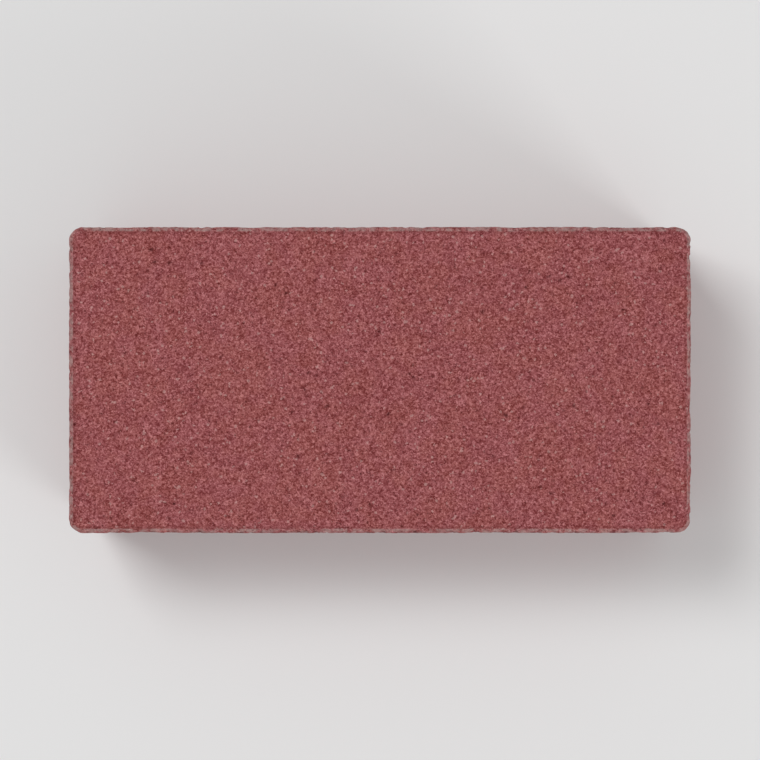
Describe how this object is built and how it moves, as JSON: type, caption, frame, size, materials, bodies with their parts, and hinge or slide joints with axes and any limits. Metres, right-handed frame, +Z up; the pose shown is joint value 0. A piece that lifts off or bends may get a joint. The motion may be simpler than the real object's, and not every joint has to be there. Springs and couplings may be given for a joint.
{
  "type": "concrete paving stone",
  "caption": "Rectangular pressed-concrete paving stone: flat wearing face with a fine bevel, rounded corners, and spacer nibs down its sides.",
  "frame": {"origin": "middle of the bed face, the flat face that lies on the laying course", "axes": "+X along the stone, +Y across it, +Z up through the wearing face"},
  "size_m": [0.2, 0.1, 0.06],
  "materials": {
    "red_concrete": "matte"
  },
  "bodies": {
    "root": {"paving_stone": "red_concrete"}
  },
  "joints": []
}
